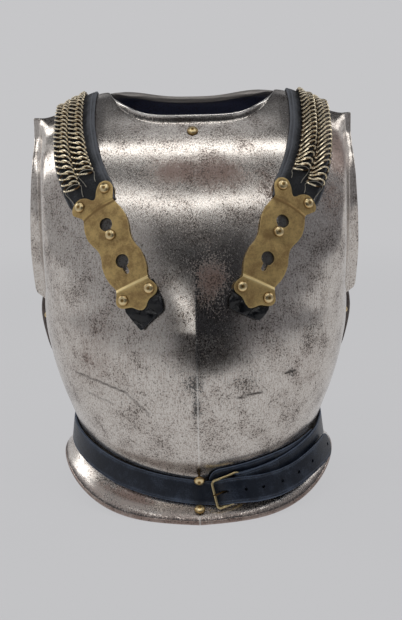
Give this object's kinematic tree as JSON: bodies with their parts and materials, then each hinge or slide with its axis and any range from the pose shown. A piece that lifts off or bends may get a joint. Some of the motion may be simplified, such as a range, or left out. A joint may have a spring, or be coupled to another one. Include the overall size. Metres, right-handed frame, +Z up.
{
  "type": "cuirass",
  "caption": "Steel cuirass: a ridged breastplate and a backplate, joined by chain-faced leather shoulder straps with brass hook plates and a buckled waist belt; it stands on its rim.",
  "frame": {"origin": "on the floor under the middle of the cuirass's box, between the breastplate's and the backplate's rims", "axes": "+Z up, -Y out of the chest and +Y out of the back, +X to the right of someone who faces the chest, which is the wearer's left"},
  "size_m": [0.3548, 0.2918, 0.4314],
  "materials": {
    "steel": "old polished steel, finely brushed, pitted and browned in patches",
    "dark_steel": "browned, unpolished steel with polished edges",
    "brass": "dull cast and cut brass, stained olive in the hollows",
    "chain": "tarnished brass wire chain",
    "strap_leather": "black strap leather, worn grey at its edges and creases",
    "belt_leather": "blue-black smooth belt leather"
  },
  "bodies": {
    "root": {"backplate": "dark_steel", "belt_billet": "belt_leather", "belt_buckle_strap": "belt_leather", "belt_rivet_left": "brass", "belt_rivet_right": "brass", "belt_safe": "belt_leather", "breastplate": "steel", "buckle_frame": "brass", "buckle_prong": "brass", "chain_left_inner": "chain", "chain_left_outer": "chain", "chain_right_inner": "chain", "chain_right_outer": "chain", "hook_plate_left": "brass", "hook_plate_right": "brass", "hook_rivet_left_1": "brass", "hook_rivet_left_2": "brass", "hook_rivet_left_3": "brass", "hook_rivet_left_4": "brass", "hook_rivet_right_1": "brass", "hook_rivet_right_2": "brass", "hook_rivet_right_3": "brass", "hook_rivet_right_4": "brass", "hook_stud_left": "brass", "hook_stud_right": "brass", "neck_rivet": "brass", "pull_tab_left": "strap_leather", "pull_tab_right": "strap_leather", "rear_rivet_left_1": "brass", "rear_rivet_left_2": "brass", "rear_rivet_right_1": "brass", "rear_rivet_right_2": "brass", "shoulder_strap_left": "strap_leather", "shoulder_strap_right": "strap_leather", "side_rivet_left": "brass", "side_rivet_right": "brass", "waist_stud_lower": "brass", "waist_stud_upper": "brass"}
  },
  "joints": []
}
